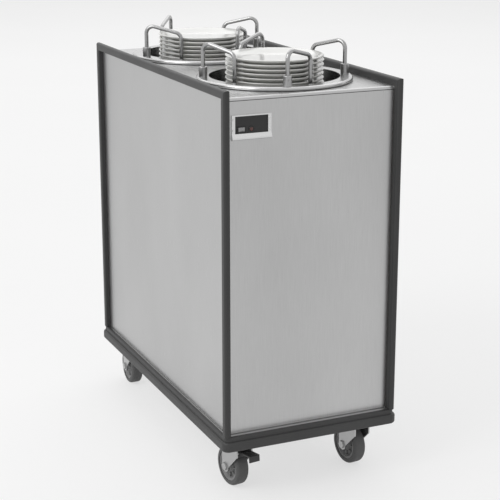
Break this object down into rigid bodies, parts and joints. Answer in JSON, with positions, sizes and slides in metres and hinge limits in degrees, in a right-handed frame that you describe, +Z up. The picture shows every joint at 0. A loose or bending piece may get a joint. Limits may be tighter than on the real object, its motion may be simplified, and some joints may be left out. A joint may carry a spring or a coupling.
{
  "type": "heated plate dispenser",
  "caption": "Mobile heated plate dispenser: closed stainless cabinet on swivel casters, dark edge trim and bumper, self-levelling plate wells in the deck with swinging wire guides.",
  "frame": {"origin": "centre of the bounding box, on the floor under the wheels", "axes": "+Z up, +Y from the front end with the controls to the rear end, +X to the right seen from the front"},
  "size_m": [0.46, 0.905, 1.0522],
  "materials": {
    "panel_steel": "brushed stainless sheet",
    "deck_steel": "brushed stainless sheet",
    "edge_trim": "satin charcoal vinyl",
    "bumper": "satin charcoal rubber",
    "base_paint": "folded steel sheet",
    "insulation": "pressed mineral wool board",
    "bezel": "satin",
    "control_black": "satin black",
    "rocker": "semi-gloss grey",
    "lamp": "clear amber-red lens",
    "inner_metal": "plain sheet and conduit",
    "well_steel": "polished stainless",
    "collar_steel": "turned stainless",
    "wire_steel": "polished round bar",
    "spring_steel": "plain steel",
    "element": "heat-darkened sheath",
    "china": "white glazed china",
    "caster_zinc": "zinc plated",
    "pedal_black": "black coated steel",
    "wheel_grey": "satin grey polypropylene",
    "tyre_grey": "matt grey rubber"
  },
  "bodies": {
    "cabinet": {"base_pan": "base_paint", "base_bumper": "bumper", "front_panel": "panel_steel", "rear_panel": "panel_steel", "top_deck": "deck_steel", "deck_rails": "deck_steel", "control_bezel": "bezel", "control_plate": "control_black", "pilot_lamp": "lamp", "control_box": "inner_metal", "thermostat": "control_black", "cord_inlet": "control_black", "heater_leads": "inner_metal", "caster_plates": "caster_zinc", "edge_trim_left": "edge_trim", "edge_trim_right": "edge_trim", "side_panel_left": "panel_steel", "side_panel_right": "panel_steel", "side_cores": "insulation", "front_flange_ring": "well_steel", "front_guide_collars": "collar_steel", "front_well_tube": "well_steel", "front_guide_rods": "spring_steel", "front_lift_springs": "spring_steel", "front_heating_element": "element", "rear_flange_ring": "well_steel", "rear_guide_collars": "collar_steel", "rear_well_tube": "well_steel", "rear_guide_rods": "spring_steel", "rear_lift_springs": "spring_steel", "rear_heating_element": "element"},
    "lift_front": {"front_lift_platform": "well_steel", "front_lift_carriage": "spring_steel"},
    "plates_front": {"front_plate_stack": "china"},
    "guide_front_1": {"front_plate_guide_1": "wire_steel"},
    "guide_front_2": {"front_plate_guide_2": "wire_steel"},
    "guide_front_3": {"front_plate_guide_3": "wire_steel"},
    "guide_front_4": {"front_plate_guide_4": "wire_steel"},
    "lift_rear": {"rear_lift_platform": "well_steel", "rear_lift_carriage": "spring_steel"},
    "plates_rear": {"rear_plate_stack": "china"},
    "guide_rear_1": {"rear_plate_guide_1": "wire_steel"},
    "guide_rear_2": {"rear_plate_guide_2": "wire_steel"},
    "guide_rear_3": {"rear_plate_guide_3": "wire_steel"},
    "guide_rear_4": {"rear_plate_guide_4": "wire_steel"},
    "caster_front_left": {"caster_fork_front_left": "caster_zinc"},
    "wheel_front_left": {"wheel_core_front_left": "wheel_grey", "tyre_front_left": "tyre_grey"},
    "pedal_front_left": {"brake_pedal_front_left": "pedal_black"},
    "caster_front_right": {"caster_fork_front_right": "caster_zinc"},
    "wheel_front_right": {"wheel_core_front_right": "wheel_grey", "tyre_front_right": "tyre_grey"},
    "caster_rear_left": {"caster_fork_rear_left": "caster_zinc"},
    "wheel_rear_left": {"wheel_core_rear_left": "wheel_grey", "tyre_rear_left": "tyre_grey"},
    "caster_rear_right": {"caster_fork_rear_right": "caster_zinc"},
    "wheel_rear_right": {"wheel_core_rear_right": "wheel_grey", "tyre_rear_right": "tyre_grey"},
    "power_rocker": {"power_rocker": "rocker"}
  },
  "joints": [
    {"name": "front_lift", "type": "slide", "parent": "cabinet", "child": "lift_front", "axis": [0, 0, 1], "range_m": [-0.345, 0.085], "stiffness_N_per_m": 640, "springref_m": 0.1585, "deforming": ["front_lift_springs"]},
    {"name": "front_plates_lift_off", "type": "slide", "parent": "lift_front", "child": "plates_front", "axis": [0, 0, 1], "range_m": [0, 0.14]},
    {"name": "front_guide_1_swing", "type": "hinge", "parent": "cabinet", "child": "guide_front_1", "pos_m": [0.16421, -0.26775, 0.984], "axis": [0, 0, -1], "range_deg": [0, 15.5]},
    {"name": "front_guide_2_swing", "type": "hinge", "parent": "cabinet", "child": "guide_front_2", "pos_m": [0.044, -0.05954, 0.984], "axis": [0, 0, -1], "range_deg": [0, 15.5]},
    {"name": "front_guide_3_swing", "type": "hinge", "parent": "cabinet", "child": "guide_front_3", "pos_m": [-0.16421, -0.17975, 0.984], "axis": [0, 0, -1], "range_deg": [0, 15.5]},
    {"name": "front_guide_4_swing", "type": "hinge", "parent": "cabinet", "child": "guide_front_4", "pos_m": [-0.044, -0.38796, 0.984], "axis": [0, 0, -1], "range_deg": [0, 15.5]},
    {"name": "rear_lift", "type": "slide", "parent": "cabinet", "child": "lift_rear", "axis": [0, 0, 1], "range_m": [-0.345, 0.085], "stiffness_N_per_m": 640, "springref_m": 0.1585, "deforming": ["rear_lift_springs"]},
    {"name": "rear_plates_lift_off", "type": "slide", "parent": "lift_rear", "child": "plates_rear", "axis": [0, 0, 1], "range_m": [0, 0.14]},
    {"name": "rear_guide_1_swing", "type": "hinge", "parent": "cabinet", "child": "guide_rear_1", "pos_m": [0.16791, 0.25034, 0.984], "axis": [0, 0, -1], "range_deg": [0, 15.5]},
    {"name": "rear_guide_2_swing", "type": "hinge", "parent": "cabinet", "child": "guide_rear_2", "pos_m": [-0.02659, 0.39166, 0.984], "axis": [0, 0, -1], "range_deg": [0, 15.5]},
    {"name": "rear_guide_3_swing", "type": "hinge", "parent": "cabinet", "child": "guide_rear_3", "pos_m": [-0.16791, 0.19716, 0.984], "axis": [0, 0, -1], "range_deg": [0, 15.5]},
    {"name": "rear_guide_4_swing", "type": "hinge", "parent": "cabinet", "child": "guide_rear_4", "pos_m": [0.02659, 0.05584, 0.984], "axis": [0, 0, -1], "range_deg": [0, 15.5]},
    {"name": "front_left_swivel", "type": "hinge", "parent": "cabinet", "child": "caster_front_left", "pos_m": [-0.159, -0.373, 0.118], "axis": [0, 0, 1], "continuous": true},
    {"name": "front_left_wheel", "type": "hinge", "parent": "caster_front_left", "child": "wheel_front_left", "pos_m": [-0.16276, -0.34626, 0.05], "axis": [-0.9903, -0.1392, 0], "continuous": true},
    {"name": "front_left_brake", "type": "hinge", "parent": "caster_front_left", "child": "pedal_front_left", "pos_m": [-0.15622, -0.39281, 0.0995], "axis": [0.9903, 0.1392, 0], "range_deg": [0, 11]},
    {"name": "front_right_swivel", "type": "hinge", "parent": "cabinet", "child": "caster_front_right", "pos_m": [0.159, -0.373, 0.118], "axis": [0, 0, 1], "continuous": true},
    {"name": "front_right_wheel", "type": "hinge", "parent": "caster_front_right", "child": "wheel_front_right", "pos_m": [0.15571, -0.3462, 0.05], "axis": [-0.9925, -0.1219, 0], "continuous": true},
    {"name": "rear_left_swivel", "type": "hinge", "parent": "cabinet", "child": "caster_rear_left", "pos_m": [-0.159, 0.373, 0.118], "axis": [0, 0, 1], "continuous": true},
    {"name": "rear_left_wheel", "type": "hinge", "parent": "caster_rear_left", "child": "wheel_rear_left", "pos_m": [-0.15853, 0.4, 0.05], "axis": [-0.9998, 0.0175, 0], "continuous": true},
    {"name": "rear_right_swivel", "type": "hinge", "parent": "cabinet", "child": "caster_rear_right", "pos_m": [0.159, 0.373, 0.118], "axis": [0, 0, 1], "continuous": true},
    {"name": "rear_right_wheel", "type": "hinge", "parent": "caster_rear_right", "child": "wheel_rear_right", "pos_m": [0.15806, 0.39998, 0.05], "axis": [-0.9994, -0.0349, 0], "continuous": true},
    {"name": "power_rocker", "type": "hinge", "parent": "cabinet", "child": "power_rocker", "pos_m": [-0.1745, -0.425, 0.888], "axis": [0, 0, -1], "range_deg": [0, 14]}
  ]
}
